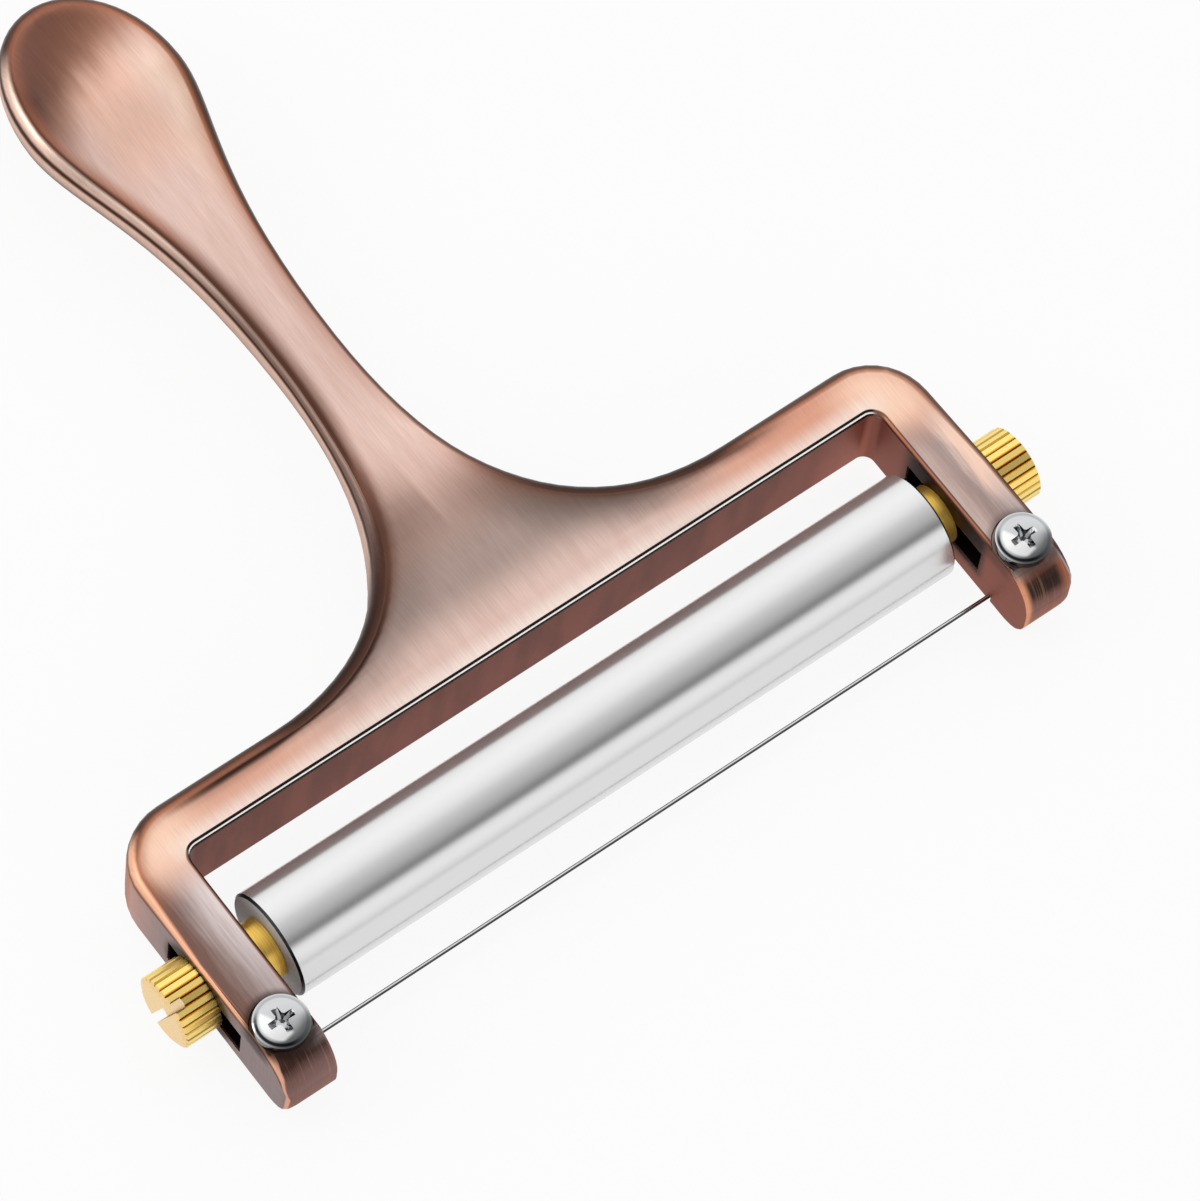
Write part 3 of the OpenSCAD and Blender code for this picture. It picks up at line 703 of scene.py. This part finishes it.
CLOSES_FROM_END = (2.2, 2.45)
CLOSES_HALF_W = 1.4
CLOSES_ABOVE = 13
casting = merged_copy("frame", "casting")
end_y_mm = max(vert.co.y for vert in casting.data.vertices) / MM
for vert in casting.data.vertices:
    from_end = end_y_mm - vert.co.y / MM
    near_end = CLOSES_FROM_END[0] < from_end < CLOSES_FROM_END[1]
    near_top = vert.co.z > CLOSES_ABOVE * MM
    vert.select = near_end and near_top and abs(vert.co.x) < CLOSES_HALF_W * MM
crumpled = sum(vert.select for vert in casting.data.vertices)
bpy.ops.object.mode_set(mode="EDIT")
bpy.ops.mesh.merge(type="CENTER")
bpy.ops.object.mode_set(mode="OBJECT")
ease_edges(casting, width=0.12 * MM, sharp_deg=50, smooth_deg=40)
casting.data.materials.clear()
casting.data.materials.append(copper)
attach(casting, "casting")
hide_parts("frame")
print("casting", len(casting.data.polygons), "faces,", crumpled, "vertices merged to one")

# %% [markdown]
# The copper's patina follows the casting's outline. Every vertex is therefore told how far
# inside the outline it lies, as seen from the front. The outline runs where the surface turns
# from facing front to facing sideways, outside the mouth and the arms' own openings. Points
# are set close together along it, and each vertex looks for its nearest one.

# %% Distance from the outline
MOUTH_TOP = 15.2
AT_SIDE = 0.2 * MM
FACES_FRONT = 0.03
PARTS = 8
shape = bmesh.new()
shape.from_mesh(casting.data)
outline = []
for edge in shape.edges:
    a, b = (vert.co for vert in edge.verts)
    mid = (a + b) / 2
    outside = ((mid.y - axis_y) / MM > MOUTH_TOP
               or frame_high[0] - abs(mid.x) < AT_SIDE
               or mid.y - frame_low[1] < AT_SIDE)
    front = [face.normal.z > FACES_FRONT for face in edge.link_faces]
    if outside and front.count(True) == 1:
        outline += [a.lerp(b, k / PARTS) for k in range(PARTS + 1)]
shape.free()
finder = KDTree(len(outline))
for index, point in enumerate(outline):
    finder.insert((point.x, point.y, 0), index)
finder.balance()
inset_mm = casting.data.attributes.new("inset_mm", "FLOAT", "POINT")
for index, vert in enumerate(casting.data.vertices):
    inset_mm.data[index].value = finder.find((vert.co.x, vert.co.y, 0))[2] / MM
print("outline of", len(outline), "points")

# %% [markdown]
# ## The roller
#
# The tube is copied so that its faced ends and the rims between them and the barrel can have
# their own finish, the rims a painted dark reflection. Which face is which follows from how far
# it points along the axis.

# %% Roller with faced ends
END_POINTS = 0.9
RIM_POINTS = 0.3
roller = merged_copy("roller_tube", "roller")
bpy.ops.object.shade_smooth_by_angle(angle=math.radians(30))
roller.data.materials.clear()
for finish in (satin_aluminium, faced_aluminium, rim_dark_reflection):
    roller.data.materials.append(finish)
for face in roller.data.polygons:
    along = abs(face.normal.x)
    face.material_index = 1 if along > END_POINTS else 2 if along > RIM_POINTS else 0
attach(roller, "roller")
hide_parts("roller_tube")
print("roller", len(roller.data.polygons), "faces")

# %% [markdown]
# ## Finishes on the other solids
#
# The turned and milled pieces keep their solids, which are true surfaces already, and get
# their metals.

# %% Finishes on the other solids
for name, finish in {
    "left_stub_axle": turned_brass,
    "right_stub_axle": turned_brass,
    "left_thumbscrew": knurled_brass,
    "right_thumbscrew": knurled_brass,
    "left_tension_screw": chromed_steel,
    "right_tension_screw": chromed_steel,
    "left_wire_nut": turned_brass,
    "right_wire_nut": turned_brass,
    "cutting_wire": drawn_steel,
}.items():
    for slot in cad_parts[name].material_slots:
        slot.material = finish
    print(name, "gets", finish.name)

# %% [markdown]
# ## Floor
#
# The floor is white paper. Part of its white shows by itself to the camera and in the metals,
# and the rest is lit, so that it keeps the object's soft shadow. It lies a hair below the
# lowest solid, so that nothing sinks into it.

# %% Floor
FLOOR_SIZE = 16.0
FLOOR_GAP = 0.02 * MM
OWN_WHITE = 0.9
bpy.ops.object.select_all(action="DESELECT")
bpy.ops.mesh.primitive_plane_add(size=FLOOR_SIZE, location=(0, 0, cad_box[0][2] - FLOOR_GAP))
floor = bpy.context.object
floor.name = "floor"
paper = bpy.data.materials.new("white_paper")
paper.use_nodes = True
tree = paper.node_tree
shader = tree.nodes["Principled BSDF"]
shader.inputs["Base Color"].default_value = linear("f6f6f6")
shader.inputs["Roughness"].default_value = 0.9
glow = add(tree, "ShaderNodeEmission", {"Color": linear("ffffff"), "Strength": 1.0})
rays = add(tree, "ShaderNodeLightPath").outputs
seen = calc("MAXIMUM", rays["Is Camera Ray"],
            calc("MAXIMUM", rays["Is Glossy Ray"], rays["Is Transmission Ray"]))
both = {0: times(seen, OWN_WHITE), 1: shader.outputs[0], 2: glow.outputs[0]}
shared = add(tree, "ShaderNodeMixShader", both)
tree.links.new(shared.outputs[0], tree.nodes["Material Output"].inputs["Surface"])
floor.data.materials.append(paper)
print("floor", FLOOR_SIZE, "m wide at", floor.location.z)

# %% [markdown]
# ## Light
#
# The studio is a tent of white cloth over the table, lit from outside. It is brightest behind
# the handle and dims over the top towards a narrow dark gap between two cloths in front. Below
# the gap it is bright again, and low down on both sides it dims a little. The tent is the
# world, coloured by the angle at which a ray leaves, from behind the handle (-90 degrees) over
# the top (0) to the front (90). Each stop gives an angle and how bright the cloth is there.

# %% Tent
TENT = [(-90, 0.8), (-76, 1.1), (-48, 1.2), (-32, 1.12), (-20, 1.04), (-5, 0.76),
        (8, 0.58), (20, 0.46), (30, 0.26), (36, 0.07), (42, 0.07), (48, 0.75),
        (54, 1.1), (70, 1.1), (82, 0.9), (90, 0.6)]
world = bpy.data.worlds.new("tent")
bpy.context.scene.world = world
world.use_nodes = True
tree = world.node_tree
ray_y, ray_z = split(add(tree, "ShaderNodeTexCoord").outputs["Generated"])[1:]
angle = calc("ARCTAN2", times(ray_y, -1.0), ray_z)
first, last = TENT[0][0], TENT[-1][0]
feeds = {"Value": angle, "From Min": math.radians(first), "From Max": math.radians(last)}
share = add(tree, "ShaderNodeMapRange", feeds)
cloth = add(tree, "ShaderNodeValToRGB", {"Fac": share.outputs[0]})
elements = cloth.color_ramp.elements
elements.remove(elements[1])
for index, (degrees, bright) in enumerate(TENT):
    at = (degrees - first) / (last - first)
    stop = elements.new(at) if index else elements[0]
    stop.position = at
    stop.color = (bright, bright, bright, 1.0)
tree.links.new(cloth.outputs[0], tree.nodes["Background"].inputs["Color"])
print("tent with", len(elements), "shades")

# %% [markdown]
# One weak lamp, behind the handle on the left arm's side, gives the tent's even light a little
# direction.

# %% Lamp
LAMP_PLACE = Vector((-0.75, 0.55, 0.65))
LAMP_SIZE = 0.6
LAMP_POWER = 1.6
lamp_data = bpy.data.lights.new("key", "AREA")
lamp_data.shape = "RECTANGLE"
lamp_data.size = LAMP_SIZE
lamp_data.size_y = LAMP_SIZE
lamp_data.energy = LAMP_POWER
lamp = bpy.data.objects.new("key", lamp_data)
lamp.location = LAMP_PLACE
lamp.rotation_euler = (-LAMP_PLACE).to_track_quat("-Z", "Y").to_euler()
bpy.context.scene.collection.objects.link(lamp)
bpy.context.scene.view_settings.view_transform = "Standard"
print("lamp of", LAMP_POWER, "W at", LAMP_PLACE.length, "m")
